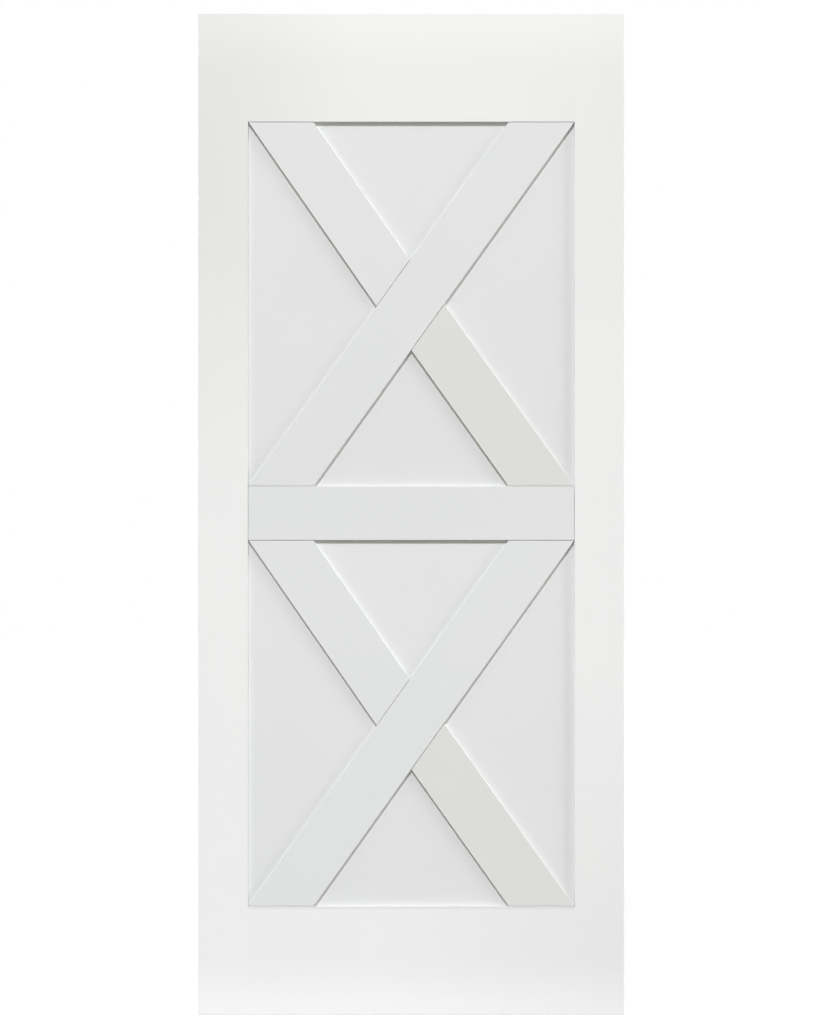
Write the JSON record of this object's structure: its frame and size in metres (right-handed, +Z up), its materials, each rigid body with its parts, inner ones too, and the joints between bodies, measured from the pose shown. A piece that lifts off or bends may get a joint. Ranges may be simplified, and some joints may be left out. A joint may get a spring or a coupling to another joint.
{
  "type": "sliding barn door leaf",
  "caption": "White painted sliding barn door leaf: stile-and-rail frame round a flat panel, with a mid rail and crossed braces planted level with the frame on each face.",
  "frame": {"origin": "middle of the bottom edge, at half the thickness", "axes": "+X to the right seen from the front, +Y from the front face to the back face, +Z up"},
  "size_m": [0.908, 0.035, 2.134],
  "materials": {
    "frame_paint": "white paint, satin",
    "infill_paint": "off-white paint, satin",
    "dowel_wood": "bare beech"
  },
  "bodies": {
    "root": {"left_stile": "frame_paint", "right_stile": "frame_paint", "top_rail": "frame_paint", "bottom_rail": "frame_paint", "panel": "infill_paint", "frame_dowels": "dowel_wood", "front_mid_rail": "infill_paint", "front_upper_long_brace": "infill_paint", "front_upper_left_brace": "infill_paint", "front_upper_right_brace": "infill_paint", "front_lower_long_brace": "infill_paint", "front_lower_left_brace": "infill_paint", "front_lower_right_brace": "infill_paint", "back_mid_rail": "infill_paint", "back_upper_long_brace": "infill_paint", "back_upper_left_brace": "infill_paint", "back_upper_right_brace": "infill_paint", "back_lower_long_brace": "infill_paint", "back_lower_left_brace": "infill_paint", "back_lower_right_brace": "infill_paint"}
  },
  "joints": []
}
